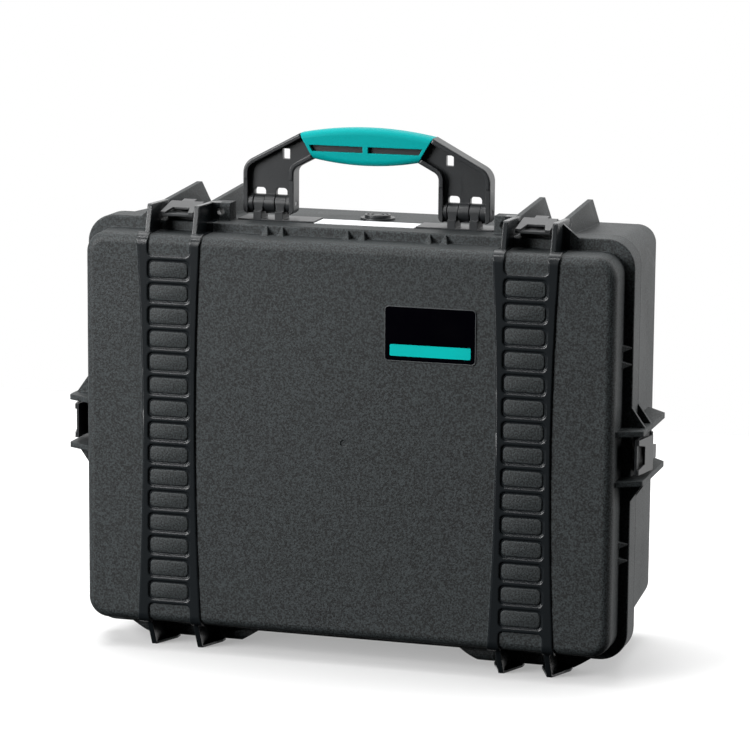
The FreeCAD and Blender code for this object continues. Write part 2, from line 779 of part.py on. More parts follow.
def lid_shell():
    outer = dome("lid_dome", "0", "lid_depth - part_gap / 2")
    raised = dome("lid_raised", "rail_raise", "lid_depth - part_gap / 2 + rail_raise")
    ladders = [common(f"rails_{side_name(side)}", raised, ladder(side)) for side in (-1, 1)]
    body = join("lid_body", outer, flange("lid_flange", "flange_depth", False), *ladders, *lid_fins(),
                *webs("lid", False), *gussets(), *lugs("lid", "-lug_depth", "-part_gap / 2"), *lid_hinges())
    cavity = dome("lid_cavity", "-lid_wall", "lid_depth - lid_wall - part_gap / 2")
    groove = seal_ring("seal_groove", "0")
    recess = prism("plate_recess", "XZ_Plane",
                   rounded("plate_left + plate_width / 2", "mid_z + plate_rise + plate_height / 2",
                           "plate_width + 2 * seat_gap", "plate_height + 2 * seat_gap", "plate_corner"),
                   "plate_sink + overrun", at=("0", "-(lid_depth - plate_sink)", "0"))
    gate = rod("lid_gate", "gate_radius", "gate_depth + overrun", "Y",
               ("0", "-(lid_depth + overrun)", "mid_z"))
    bores = [*lug_bores("lid"), *hinge_bores("lid")]
    keep(cut("lid_shell", body, cavity, groove, recess, gate, *bores), "lid_shell")


def base_box(name, grow, depth):
    """Base form: drafted to the back, with round corners and a round back edge."""
    half, top, bottom = f"base_half + {grow}", f"flange_top + {grow}", f"base_bottom - ({grow})"
    body = prism(name, "XZ_Plane", rectangle(f"-({half})", bottom, half, top), depth,
                 at=("0", "part_gap / 2", "0"), back=True, taper="-base_draft")
    soften(body, f"base_corner + {grow}", along(Y_AXIS))
    return soften(body, f"base_rear_round + {grow}", at_y(1))


def screw_spots(*sides):
    return [(f"{side} * ({x})", "screw_y") for side in sides
            for x in ("arch_inner + arch_width / 2", "arch_outer + arch_width / 2")]


def base_shell():
    outer = base_box("base_outer", "0", "base_depth - part_gap / 2")
    land = block("handle_land", ("-land_half", "part_gap / 2", "flange_top - base_wall"),
                 ("land_half", "land_depth", "flange_top"))
    body = join("base_body", outer, flange("base_rim", "base_rim_depth", True), land, *base_fins(),
                *webs("base", True), *lugs("base", "part_gap / 2", "lug_depth"), *base_hinges())
    cavity = base_box("base_cavity", "-base_wall", "base_depth - base_wall - part_gap / 2")
    stem = rod("valve_hole", "valve_stem_radius + run_gap", "base_wall * 4", "Z",
               ("0", "valve_y", "flange_top - base_wall * 3"))
    screws = [rod(f"screw_hole_{i}", "screw_radius + run_gap", "base_wall * 4", "Z",
                  (x, y, "flange_top - base_wall * 3")) for i, (x, y) in enumerate(screw_spots(-1, 1))]
    keep(cut("base_shell", body, cavity, stem, *screws, *lug_bores("base"), *hinge_bores("base"),
             *latch_bores("base")), "base_shell")


def lid_seal():
    keep(seal_ring("lid_seal", "seat_gap"), "lid_seal")


def hinge_pins():
    for side in (-1, 1):
        low = f"{side} * ladder_x - {'hinge_pin_in' if side > 0 else 'hinge_pin_out'}"
        name = f"hinge_pin_{side_name(side)}"
        shaft = rod(f"{name}_rod", "hinge_pin_radius", "hinge_pin_out + hinge_pin_in", "X",
                    (low, "0", "hinge_rise"))
        keep(group(name, shaft), name)


def arm(side):
    """One side of the handle: an I section with a rim, a web, its windows and its knuckles."""
    name = f"arm_{side_name(side)}"

    def spot(x, rise):
        return (f"{side} * ({x})", f"flange_top + {rise}")

    shoulder, elbow = spot("arm_outer", "arm_shoulder"), spot("arm_inner", "arm_elbow")
    toes = [spot("arm_inner", "arm_bottom"), spot("arm_outer", "arm_bottom")]
    outline = [*toes, shoulder, spot("grip_top_half", "grip_top_rise"),
               spot("grip_bottom_half", "grip_bottom_rise"), elbow]
    plate = prism(name, "XZ_Plane", outline, "handle_thick", at=("0", "handle_y + handle_thick / 2", "0"))
    soften(plate, "arm_round", near(Y_AXIS, [shoulder]))
    soften(plate, "elbow_round", near(Y_AXIS, [elbow]))
    soften(plate, "toe_round", near(Y_AXIS, toes))
    soften(plate, "rim_round", at_y(-1))
    soften(plate, "rim_round", at_y(1))
    hip = spot("arm_outer - rim_thick", "arm_shoulder - rim_thick * rim_slope_share")
    bend = spot("arm_inner + rim_thick", "arm_elbow + rim_thick * rim_slope_share")
    crown = spot("grip_top_half - rim_thick * rim_inset_share", "grip_top_rise - rim_thick * rim_end_share")
    belly = spot("grip_bottom_half + rim_thick * rim_slope_share",
                 "grip_bottom_rise + rim_thick * rim_end_share")
    hollow = [spot("arm_inner + rim_thick", "0"), spot("arm_outer - rim_thick", "0"), hip, crown, belly, bend]
    rooms = []
    for face, way in (("front", -1), ("rear", 1)):
        room = prism(f"{name}_{face}", "XZ_Plane", hollow, "(handle_thick - web_thick) / 2 + overrun",
                     at=("0", f"handle_y + {way} * web_thick / 2", "0"), back=way > 0)
        soften(room, "arm_round - rim_thick", near(Y_AXIS, [hip]))
        rooms.append(soften(room, "elbow_round + rim_thick", near(Y_AXIS, [bend])))
        ends = [f"handle_y + {way} * ({words})" for words in ("handle_thick / 2 - arm_step", "handle_thick")]
        y0, y1 = ends if way > 0 else ends[::-1]
        wide = [f"{side} * ({words})" for words in ("arm_inner - overrun", "arm_outer + overrun")]
        x0, x1 = wide if side > 0 else wide[::-1]
        rooms.append(block(f"{name}_{face}_step", (x0, y0, "flange_top"),
                           (x1, y1, "flange_top + arm_step_rise")))
    ends = (f"{side} * (arm_inner + rim_thick / 2)", f"{side} * (arm_outer - rim_thick / 2)")
    low = ends[0] if side > 0 else ends[1]
    barrel = rod(f"{name}_barrel", "barrel_radius", "arm_outer - arm_inner - rim_thick", "X",
                 (low, "handle_y", "pivot_z"))
    windows = []
    through, behind = "2 * handle_thick", ("0", "handle_y + handle_thick", "0")
    for number, start in enumerate(("arch_inner", "arch_outer")):
        arch = rounded(f"{side} * ({start} + arch_width / 2)", "flange_top", "arch_width", "2 * arch_rise",
                       "arch_round")
        windows.append(prism(f"{name}_arch_{number}", "XZ_Plane", arch, through, at=behind))
    light = rounded(f"{side} * (arm_window_x + arm_window_width / 2)",
                    "flange_top + arm_window_rise + arm_window_height / 2",
                    "arm_window_width", "arm_window_height", "arm_window_corner")
    windows.append(prism(f"{name}_window", "XZ_Plane", light, through, at=behind))
    low = "arm_inner - overrun" if side > 0 else "-(arm_outer + overrun)"
    bore = rod(f"{name}_bore", "handle_pin_radius + run_gap", "arm_outer - arm_inner + 2 * overrun", "X",
               (low, "handle_y", "pivot_z"))
    solid = join(f"{name}_solid", cut(f"{name}_hollow", plate, *rooms), barrel)
    return cut(f"{name}_done", solid, *windows, bore)


def grip_core(name):
    """Bar through the grip, shared by the frame and the grip's own hollow."""
    low, high = "flange_top + core_bottom_rise", "flange_top + core_top_rise"
    outline = [("-(core_bottom_half)", low), ("core_bottom_half", low), ("core_top_half", high),
               ("-(core_top_half)", high)]
    return prism(name, "XZ_Plane", outline, "core_thick", at=("0", "handle_y + core_thick / 2", "0"))


def handle():
    keep(join("handle_frame", arm(-1), arm(1), grip_core("frame_core")), "handle_frame")
    top, bottom = "flange_top + grip_top_rise", "flange_top + grip_bottom_rise"
    outline = [("-grip_bottom_half", bottom, ("0", f"{bottom} - grip_belly")), ("grip_bottom_half", bottom),
               ("grip_top_half", top, ("0", f"{top} + grip_crown")), ("-grip_top_half", top)]
    grip = prism("grip_form", "XZ_Plane", outline, "grip_thick", at=("0", "handle_y + grip_thick / 2", "0"))

    def long_edges(edge, shape):
        return edge.BoundBox.XLength > value("grip_bottom_half")

    soften(grip, "grip_round", long_edges)
    low = "flange_top + grip_slot_rise"
    high = f"{low} + grip_slot_height"
    slots = []
    for side in (-1, 1):
        inner = f"{side} * grip_slot_inner"
        ends = [f"{side} * ({words} - grip_slot_border)" for words in ("slot_bottom_half", "slot_top_half")]
        outline = [(inner, low), (ends[0], low), (ends[1], high), (inner, high)]
        slots.append(prism(f"grip_slot_{side_name(side)}", "XZ_Plane", outline, "2 * grip_thick",
                           at=("0", "handle_y + grip_thick", "0")))
    keep(cut("handle_grip", grip, grip_core("grip_hollow"), *slots), "handle_grip")


def handle_mounts():
    """Plates with the two knuckles and front stops that carry each arm's pin."""
    for side in (-1, 1):
        name = f"handle_mount_{side_name(side)}"
        ends = [f"{side} * mount_inner", f"{side} * mount_outer"]
        low, high = ends if side > 0 else ends[::-1]
        shapes = [block(f"{name}_plate", (low, "mount_front", "flange_top"),
                        (high, "mount_back", "flange_top + mount_thick"))]
        front, sill = "handle_y - stop_front", "flange_top + stop_rise"
        back, crest = "handle_y + mount_knuckle_radius", "handle_y - mount_knuckle_radius"
        hook = [(front, "flange_top"), (back, "flange_top"), (back, "pivot_z"), (crest, "pivot_z"),
                (crest, sill), (front, sill)]
        for number, start in enumerate(("arch_inner", "arch_outer")):
            middle = f"{side} * ({start} + arch_width / 2)"
            shapes.append(rod(f"{name}_knuckle_{number}", "mount_knuckle_radius",
                              "arch_width - 2 * side_gap", "X",
                              (f"{middle} - arch_width / 2 + side_gap", "handle_y", "pivot_z")))
            shapes.append(prism(f"{name}_hook_{number}", "YZ_Plane", hook, "hook_width",
                                at=(f"{middle} - hook_width / 2", "0", "0")))
        low = "arm_inner - overrun" if side > 0 else "-(arm_outer + overrun)"
        bore = rod(f"{name}_bore", "handle_pin_radius + run_gap", "arm_outer - arm_inner + 2 * overrun", "X",
                   (low, "handle_y", "pivot_z"))
        holes = [rod(f"{name}_hole_{i}", "screw_radius + run_gap", "screw_bite + seat_gap + overrun", "Z",
                     (x, y, "flange_top - overrun")) for i, (x, y) in enumerate(screw_spots(side))]
        keep(cut(name, join(f"{name}_solid", *shapes), bore, *holes), name)
        pin = f"handle_pin_{side_name(side)}"
        low = "arm_inner + side_gap" if side > 0 else "-(arm_outer - side_gap)"
        shaft = rod(f"{pin}_rod", "handle_pin_radius", "arm_outer - arm_inner - 2 * side_gap", "X",
                    (low, "handle_y", "pivot_z"))
        keep(group(pin, shaft), pin)


def handle_mount_screws():
    shapes = []
    for i, (x, y) in enumerate(screw_spots(-1, 1)):
        head_top = "flange_top - base_wall - screw_y * tan(base_draft)"
        shapes.append(rod(f"screw_{i}_shank", "screw_radius", f"flange_top + screw_bite - ({head_top})", "Z",
                          (x, y, head_top)))
        shapes.append(rod(f"screw_{i}_head", "screw_head_radius", "screw_head_height", "Z",
                          (x, y, f"{head_top} - screw_head_height - seat_gap")))
        shapes.append(rod(f"screw_{i}_neck", "screw_radius", "screw_head_height", "Z",
                          (x, y, f"{head_top} - screw_head_height / 2")))
    keep(join("handle_mount_screws", *shapes), "handle_mount_screws")


def valve():
    spot = ("0", "valve_y")
    seat = "flange_top"
    flange = rod("valve_flange_disc", "valve_radius", "valve_flange", "Z", (*spot, seat))
    stem = rod("valve_stem", "valve_stem_radius", "valve_stem_length", "Z",
               (*spot, f"{seat} - valve_stem_length"))
    outer = "valve_seal_radius + valve_seal_thick"
    gland = cut("valve_gland", rod("valve_gland_outer", outer, "valve_seal_thick", "Z", (*spot, seat)),
                rod("valve_gland_inner", "valve_seal_radius", "valve_seal_thick", "Z", (*spot, seat)))
    keep(cut("valve_body", join("valve_body_solid", flange, stem), gland), "valve_body")
    keep(cut("valve_seal",
             rod("valve_seal_outer", f"{outer} - run_gap", "valve_seal_thick", "Z", (*spot, seat)),
             rod("valve_seal_inner", "valve_seal_radius + run_gap", "valve_seal_thick", "Z", (*spot, seat))),
         "valve_seal")
    top = f"{seat} + valve_flange"
    cap = rod("valve_cap_disc", "valve_cap_radius", "valve_cap_height", "Z", (*spot, top))
    rings = []
    floor = (*spot, f"{top} + valve_cap_height - valve_ring_depth")
    for number in (0, 1):
        reach = f"valve_cap_radius - {2 * number + 1} * valve_ring_width"
        depth = "valve_ring_depth + overrun"
        rings.append(cut(f"valve_ring_{number}", rod(f"valve_ring_outer_{number}", reach, depth, "Z", floor),
                         rod(f"valve_ring_inner_{number}", f"{reach} - valve_ring_width", depth, "Z", floor)))
    keep(cut("valve_cap", cap, *rings), "valve_cap")
    nut_top = "flange_top - base_wall - (valve_y + valve_nut_radius) * tan(base_draft)"
    nut = prism("valve_nut_form", "XY_Plane", hexagon("valve_nut_radius"), "valve_nut_height",
                at=("0", "valve_y", f"{nut_top} - valve_nut_height"))
    hole = rod("valve_nut_hole", "valve_stem_radius + run_gap", "valve_nut_height + 2 * overrun", "Z",
               (*spot, f"{nut_top} - valve_nut_height - overrun"))
    keep(cut("valve_nut", nut, hole), "valve_nut")


def hexagon(radius):
    return [(f"{radius} * cos({60 * i})", f"{radius} * sin({60 * i})") for i in range(6)]


def plates():
    centre = ("plate_left + plate_width / 2", "mid_z + plate_rise + plate_height / 2")
    form = rounded(*centre, "plate_width", "plate_height", "plate_corner")
    plate = prism("name_plate_form", "XZ_Plane", form, "plate_thick",
                  at=("0", "-(lid_depth - plate_sink)", "0"))
    size = ("plate_width - 2 * inlay_margin", "inlay_height", "plate_corner / 2")
    inlay_z = "mid_z + plate_rise + inlay_margin + inlay_height / 2"
    floor = "lid_depth - plate_sink + plate_thick - inlay_thick"
    slot = prism("inlay_slot", "XZ_Plane", rounded(centre[0], inlay_z, *size), "plate_thick",
                 at=("0", f"-({floor})", "0"))
    keep(cut("name_plate", plate, slot), "name_plate")
    inlay = prism("name_plate_inlay", "XZ_Plane", rounded(centre[0], inlay_z, *size), "inlay_thick")
    keep(inlay, "name_plate_inlay", at=("0", f"part_y - ({floor})", "0"))
    strip = block("id_strip", ("-label_half", "label_front", "flange_top"),
                  ("label_half", "label_back", "flange_top + label_thick"))
    keep(group("id_label", strip), "id_label")


def latch(name, at, turn):
    """Claw on the base's fins with a lever hinged on the claw, in the latch's own frame: X along the
    case's edge, Y from the parting plane and Z out from the flange."""
    half = "latch_width / 2"
    low = f"-{half}"
    tray = [("-lip_front", "lip_under"), ("-claw_front", "lip_under"), ("-claw_front", "claw_gap"),
            ("-claw_back", "claw_gap"), ("-claw_back", "lip_under"), ("lip_back - lip_thick", "lip_under"),
            ("latch_pin_y + knuckle_radius / 2", "latch_pin_rise - knuckle_radius / 2"),
            ("latch_pin_y - knuckle_radius / 2", "latch_pin_rise + knuckle_radius / 2"),
            ("-lip_back", "lip_top"), ("-lip_front", "lip_top")]
    plate = prism(f"{name}_tray", "YZ_Plane", tray, "latch_width", at=(low, "0", "0"))
    knuckle = rod(f"{name}_knuckle", "knuckle_radius", "latch_width", "X",
                  (low, "latch_pin_y", "latch_pin_rise"))
    boss = rod(f"{name}_boss", "lever_boss_radius", "2 * lever_boss_half", "X",
               ("-lever_boss_half", "-lever_pin_y", "lever_pin_rise"))
    stand = block(f"{name}_stand",
                  ("-lever_boss_half", "-(lever_pin_y + lever_boss_radius)", "lip_under + lip_thick / 2"),
                  ("lever_boss_half", "-(lever_pin_y - lever_boss_radius)", "lever_pin_rise"))
    bores = [rod(f"{name}_claw_bore", "latch_pin_radius + run_gap", "latch_width + 2 * overrun", "X",
                 (f"{low} - overrun", "latch_pin_y", "latch_pin_rise")),
             rod(f"{name}_lever_bore", "lever_pin_radius + run_gap", "latch_width + 2 * overrun", "X",
                 (f"{low} - overrun", "-lever_pin_y", "lever_pin_rise"))]
    claw = cut(f"{name}_claw", join(f"{name}_claw_solid", plate, knuckle, boss, stand), *bores)
    keep(claw, f"{name}_claw", at, turn)

    foot = "lip_top + lever_rest"
    top = f"{foot} + lever_rise"
    shell = [("-lever_front", foot), ("-(lever_front - lever_toe)", foot),
             ("-lever_back", f"{top} - lever_thick"), ("tongue_back", f"{top} - lever_thick + tongue_rise"),
             ("tongue_back", f"{top} + tongue_rise"), ("-lever_back", top),
             ("-lever_front", f"{foot} + lever_toe_rise")]
    cover = prism(f"{name}_cover", "YZ_Plane", shell, "latch_width", at=(low, "0", "0"))
    tools = []
    for side in (-1, 1):
        inner, outer = "tongue_half", f"{half} + overrun"
        ends = (inner, outer) if side > 0 else (f"-({outer})", f"-{inner}")
        tools.append(block(f"{name}_slot_{side_name(side)}", (ends[0], "-lever_back", foot),
                           (ends[1], "tongue_back + overrun", f"{top} + 2 * tongue_rise")))
    mouth, end = "-(lever_front + overrun)", "-(lever_front - lever_notch_depth)"
    notch = [("-lever_notch_front / 2", mouth), ("lever_notch_front / 2", mouth),
             ("lever_notch_back / 2", end), ("-lever_notch_back / 2", end)]
    tools.append(prism(f"{name}_notch", "XY_Plane", notch, "2 * lever_rise",
                       at=("0", "0", f"{foot} - overrun")))
    ears = []
    for side in (-1, 1):
        inner, outer = "lever_boss_half + seat_gap", "lever_ear_half"
        ends = (inner, outer) if side > 0 else (f"-{outer}", f"-({inner})")
        ear = [("-(lever_pin_y + lever_boss_radius)", "lever_pin_rise"),
               ("-(lever_pin_y - lever_boss_radius)", "lever_pin_rise"),
               ("-lever_back", f"{top} - lever_thick / 2"),
               ("-(lever_pin_y + lever_boss_radius)", f"{top} - lever_thick")]
        ears.append(prism(f"{name}_ear_{side_name(side)}", "YZ_Plane", ear, f"{outer} - ({inner})",
                          at=(ends[0], "0", "0")))
        ears.append(rod(f"{name}_eye_{side_name(side)}", "lever_boss_radius", f"{outer} - ({inner})", "X",
                        (ends[0], "-lever_pin_y", "lever_pin_rise")))
    pin_bore = rod(f"{name}_ear_bore", "lever_pin_radius + run_gap", "latch_width + 2 * overrun", "X",
                   (f"{low} - overrun", "-lever_pin_y", "lever_pin_rise"))
    solid = join(f"{name}_lever_solid", cut(f"{name}_lever_cover", cover, *tools), *ears)
    keep(cut(f"{name}_lever", solid, pin_bore), f"{name}_lever", at, turn)

    claw_pin = rod(f"{name}_claw_pin_rod", "latch_pin_radius", "2 * fin_offset + fin_thick", "X",
                   ("-(fin_offset + fin_thick / 2)", "latch_pin_y", "latch_pin_rise"))
    keep(group(f"{name}_claw_pin", claw_pin), f"{name}_claw_pin", at, turn)
    lever_pin = rod(f"{name}_lever_pin_rod", "lever_pin_radius", "2 * lever_ear_half", "X",
                    ("-lever_ear_half", "-lever_pin_y", "lever_pin_rise"))
    keep(group(f"{name}_lever_pin", lever_pin), f"{name}_lever_pin", at, turn)


def latches():
    for side in (-1, 1):
        hand = side_name(side)
        latch(f"top_latch_{hand}", (f"{side} * ladder_x", "part_y", "flange_top"), None)
        turn = FreeCAD.Rotation(Y_AXIS, side * 90)
        latch(f"side_latch_{hand}", (f"{side} * flange_half", "part_y", "mid_z"), turn)


lid_shell()
base_shell()
lid_seal()
hinge_pins()
handle()
handle_mounts()
handle_mount_screws()
valve()
plates()
latches()
doc.recompute()

for obj in doc.Objects:
    if "Invalid" in obj.State or "Error" in obj.State:
        raise RuntimeError(f"{obj.Name} did not build: {obj.State}")
os.makedirs("parts", exist_ok=True)
for obj in sub_parts:
    if obj.Shape.isNull() or not obj.Shape.isValid():
        raise RuntimeError(f"{obj.Label} has no valid shape")
    obj.Shape.exportStep(f"parts/{obj.Label}.step")
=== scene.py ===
"""Looks of the hard carrying case: moulded finishes, small detail, light and camera.

Metres throughout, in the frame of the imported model: X across the case, Y from the lid to the back, Z up.
"""
import math

import bmesh
import bpy
from mathutils import Matrix, Vector


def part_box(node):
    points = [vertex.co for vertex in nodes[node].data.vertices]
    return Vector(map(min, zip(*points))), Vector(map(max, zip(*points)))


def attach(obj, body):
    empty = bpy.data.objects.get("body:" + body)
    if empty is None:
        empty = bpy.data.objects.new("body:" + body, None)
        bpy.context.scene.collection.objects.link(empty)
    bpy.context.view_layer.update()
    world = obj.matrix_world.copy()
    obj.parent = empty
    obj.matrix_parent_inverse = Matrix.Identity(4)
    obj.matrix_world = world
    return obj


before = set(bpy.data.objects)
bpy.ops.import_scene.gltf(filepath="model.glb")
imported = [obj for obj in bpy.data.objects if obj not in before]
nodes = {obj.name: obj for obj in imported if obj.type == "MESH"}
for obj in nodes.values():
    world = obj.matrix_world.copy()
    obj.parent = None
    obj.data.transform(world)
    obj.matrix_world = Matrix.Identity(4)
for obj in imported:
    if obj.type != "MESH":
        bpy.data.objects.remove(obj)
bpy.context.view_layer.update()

MM = 0.001
LATCH_NAMES = ("top_latch_left", "top_latch_right", "side_latch_left", "side_latch_right")

# Lid: the front of its rails, the face behind them, and the middle of its height
FRONT_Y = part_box("lid_shell")[0].y
RAIL_RISE = 1.8 * MM
FACE_Y = FRONT_Y + RAIL_RISE
MIDDLE_Z = 216.15 * MM

# Ladder bands: where they lie, the half width inside and outside the rails, how far behind the front a rung
# still counts as raised, and the rows of closed windows. A rail's outer edge moves out by the flare times the
# square of the height above or below the middle.
LADDER_X = 174 * MM
LADDER_INNER = 20.8 * MM
RAIL_MIDDLE = 26.9 * MM
RAIL_FLARE = 0.15
RAISED_DEPTH = 1.2 * MM
WINDOW_PITCH = 22.3 * MM
WINDOWS = 15

# Pieces on the lid's face: how deep they are let into it, the steps of a rounded edge, the angle in radians
# past which an edge is sharp, and the least Y of the normal of a face that looks to the front or the back
LET_IN = 0.3 * MM
EDGE_STEPS = 3
SHARP_ANGLE = 0.5
FACING_Y = 0.9

# Pad in each closed window
PAD_HALF_X = 19.0 * MM
PAD_HALF_Z = 7.35 * MM
PAD_RISE = 0.9 * MM
PAD_CORNER = 4.4 * MM
PAD_CORNER_STEPS = 6
PAD_EDGE = 0.7 * MM

# Bezel round the name plate
PLATE_CORNER = 3 * MM
BEZEL_GAP = 0.2 * MM
BEZEL_WIDTH = 1.0 * MM
BEZEL_RISE = 0.8 * MM
BEZEL_CORNER_STEPS = 8
BEZEL_EDGE = 0.3 * MM

# Colours as the shader takes them, linear
CASE_BLACK = (0.0172, 0.0210, 0.0222, 1)
# Black of the glossy rails, also painted as shade into the grooves round the window pads
RAIL_BLACK_AND_GROOVE_SHADE = (0.0080, 0.0100, 0.0115, 1)
LATCH_BLACK = (0.0120, 0.0135, 0.0150, 1)
LEVER_BLACK = (0.0210, 0.0225, 0.0240, 1)
GRIP_TEAL = (0.0010, 0.2900, 0.2900, 1)
PLATE_BLACK = (0.0004, 0.0003, 0.0012, 1)
PLATE_TEAL = (0.0010, 0.4300, 0.4050, 1)
# Bezel's grey, lighter than the case: partly the bezel's own colour, partly a painted highlight for the light
# its soft edge catches
BEZEL_GREY_AND_HIGHLIGHT = (0.0420, 0.0460, 0.0480, 1)
SEAL_BLACK = (0.0080, 0.0080, 0.0080, 1)
STEEL = (0.5600, 0.5600, 0.5700, 1)
BLACKED_STEEL = (0.0350, 0.0350, 0.0380, 1)
STRIP_WHITE = (0.7800, 0.7900, 0.8000, 1)
FLOOR_WHITE = (0.4300, 0.4300, 0.4300, 1)
FLOOR_GREY = (0.4100, 0.4100, 0.4100, 1)
WHITE = (1, 1, 1, 1)

# Moulded grain: scales as shares of the pebbles', and the spans of noise that run from none to full
TOOTH_SCALE_SHARE = 2.3
FLECK_SCALE_SHARE = 0.85
FLECK_SPAN = (0.38, 0.64)
TONE_SCALE = 9.0
TONE_SPAN = (0.3, 0.7)

# Marks of use: the span of noise that shows as rubbed. Scratches lie where a turned and stretched noise is
# near its middle value.
RUB_SPAN = (0.42, 0.72)
SCRATCH_TURN = (0.4, 0.7, 0.3)
SCRATCH_STRETCH = (1.0, 0.12, 0.2)
NOISE_MIDDLE = 0.5
SCRATCH_HALF_WIDTH = 0.006

# Small edges: samples of the rounding, and the agreement of normals where an edge begins and where it is full
EDGE_SAMPLES = 6
EDGE_SPAN = (0.99, 0.75)

# How far each effect changes the plastic
TONE_AMOUNT = 0.08
WORN_SHARE = 2.6
WORN_AMOUNT = 0.25
RUB_ROUGHNESS = 0.06
SCRATCH_ROUGHNESS = -0.05
POLISHED_ROUGHNESS = 0.27
POLISHED_GRAIN_SHARE = 0.12

# How far rubbing changes film and steel
FILM_DEEPER_SHARE = 0.82
FILM_RUB_AMOUNT = 0.6
FILM_RUB_ROUGHNESS = 0.1
FILM_RIPPLE = 0.02 * MM
STEEL_DARKER_SHARE = 0.6
STEEL_ROUGHNESS = 0.3
STEEL_RUB_ROUGHNESS = 0.2

# Room: its brightness in front and behind, and the spans of direction over which it changes along Y and Z
ROOM_FRONT = 0.03
ROOM_BACK = 1.3
ROOM_Y_SPAN = (-0.05, 0.5)
ROOM_Z_SPAN = (-0.65, -0.3)

# Floor sheet: its half width, its ends along Y, and its finish
FLOOR_HALF_X = 4
FLOOR_FRONT = -0.9
FLOOR_BACK = 1.1
FLOOR_GLOW = 0.33
FLOOR_ROUGHNESS = 0.9
FLOOR_CLOUD_SCALE = 3.0
FLOOR_CLOUD_AMOUNT = 0.05

# Lamps: name, place, the point that the lamp faces, size, and power in watts
FLOOR_LAMP = ("floor_box", (-0.25, 0.3, 2.2), (0, 0, 0), (2.0, 1.4), 60)
CASE_LAMPS = (
    ("key_box", (-2.1, -2.3, 1.3), (0, -0.1, 0.22), (1.6, 1.6), 158),
    ("top_box", (-0.25, 0.45, 2.2), (0, 0, 0.3), (2.0, 1.3), 32),
    ("strip_box", (-0.75, -1.1, 2.3), (0, -0.1, 0.22), (1.8, 0.25), 20),
    ("right_box", (2.4, 0.9, 1.3), (0.2, 0, 0.25), (1.2, 1.6), 31),
)

# Camera: its place and turns, its lens and sensor in millimetres, and how far it sees
CAMERA_PLACE = (0.9310, -3.1667, 0.87395)
CAMERA_TURN = math.radians(16.4026)
CAMERA_TILT = math.radians(79.5104)
CAMERA_ROLL = math.radians(0.4795)
CAMERA_LENS = 166.62
CAMERA_SENSOR = 36
CAMERA_REACH = 60


class Tree:
    """Short way to add and link nodes in one node tree."""

    def __init__(self, tree):
        self.nodes = tree.nodes
        self.links = tree.links

    def add(self, kind, settings=None, **inputs):
        """New node with its settings and inputs; an underscore in an input's name stands for a space."""
        node = self.nodes.new(f"ShaderNode{kind}")
        for name, setting in (settings or {}).items():
            setattr(node, name, setting)
        for name, source in inputs.items():
            self.feed(node.inputs[name.replace("_", " ")], source)
        return node

    def feed(self, socket, source):
        """Link the source to the socket, or set the socket to it where it is a plain value."""
        if isinstance(source, bpy.types.NodeSocket):
            self.links.new(source, socket)
        else:
            socket.default_value = source

    def math(self, operation, first, second=None, third=None):
        node = self.nodes.new("ShaderNodeMath")
        node.operation = operation
        for socket, source in zip(node.inputs, (first, second, third)):
            if source is not None:
                self.feed(socket, source)
        return node.outputs[0]

    def fade(self, value, low, high, start=0.0, end=1.0):
        """Value moved from the span low to high onto the span start to end, clamped."""
        return self.add("MapRange", Value=value, From_Min=low, From_Max=high, To_Min=start,
                        To_Max=end).outputs["Result"]

    def mix(self, kind, factor, first, second):
        return self.add("Mix", {"data_type": kind}, Factor=factor, A=first, B=second).outputs["Result"]

    def blend(self, factor, first, second):
        """Colour between two colours."""
        return self.mix("RGBA", factor, first, second)

    def blend_values(self, factor, first, second):
        """Value between two values."""
        return self.mix("FLOAT", factor, first, second)

    def place(self):
        """Place of the shaded point on its object."""
        return self.add("TexCoord").outputs["Object"]


def new_group(name, inputs, outputs):
    """Empty node group with float inputs at their usual values, and outputs of the given kinds."""
    group = bpy.data.node_groups.new(name, "ShaderNodeTree")
    for label, amount in inputs.items():
        socket = group.interface.new_socket(label, in_out="INPUT", socket_type="NodeSocketFloat")
        socket.default_value = amount
    for label, kind in outputs.items():
        group.interface.new_socket(label, in_out="OUTPUT", socket_type=f"NodeSocket{kind}")
    tree = Tree(group)
    return group, tree, tree.nodes.new("NodeGroupInput").outputs, tree.nodes.new("NodeGroupOutput").inputs


def moulded_grain():
    """Spark-eroded grain: pebbles with a finer tooth between them, flecks, and a slow change of tone."""
    group, tree, given, out = new_group("moulded_grain", {"Pebble": 1.1 * MM, "Tooth": 0.35},
                                        {"Height": "Float", "Fleck": "Float", "Tone": "Float"})
    place = tree.place()
    scale = tree.math("DIVIDE", 1.0, given["Pebble"])
    pebbles = tree.add("TexVoronoi", {"feature": "SMOOTH_F1"}, Vector=place, Scale=scale, Smoothness=0.6)
    tooth_scale = tree.math("MULTIPLY", scale, TOOTH_SCALE_SHARE)
    tooth = tree.add("TexNoise", Vector=place, Scale=tooth_scale, Detail=2.0, Roughness=0.6)
    rise = tree.math("SUBTRACT", 1.0, pebbles.outputs["Distance"])
    tree.feed(out["Height"], tree.math("MULTIPLY_ADD", tooth.outputs["Fac"], given["Tooth"], rise))
    fleck_scale = tree.math("MULTIPLY", scale, FLECK_SCALE_SHARE)
    fleck = tree.add("TexNoise", Vector=place, Scale=fleck_scale, Detail=2.0)
    tree.feed(out["Fleck"], tree.fade(fleck.outputs["Fac"], *FLECK_SPAN))
    tone = tree.add("TexNoise", Vector=place, Scale=TONE_SCALE, Detail=4.0, Roughness=0.55)
    tree.feed(out["Tone"], tree.fade(tone.outputs["Fac"], *TONE_SPAN))
    return group


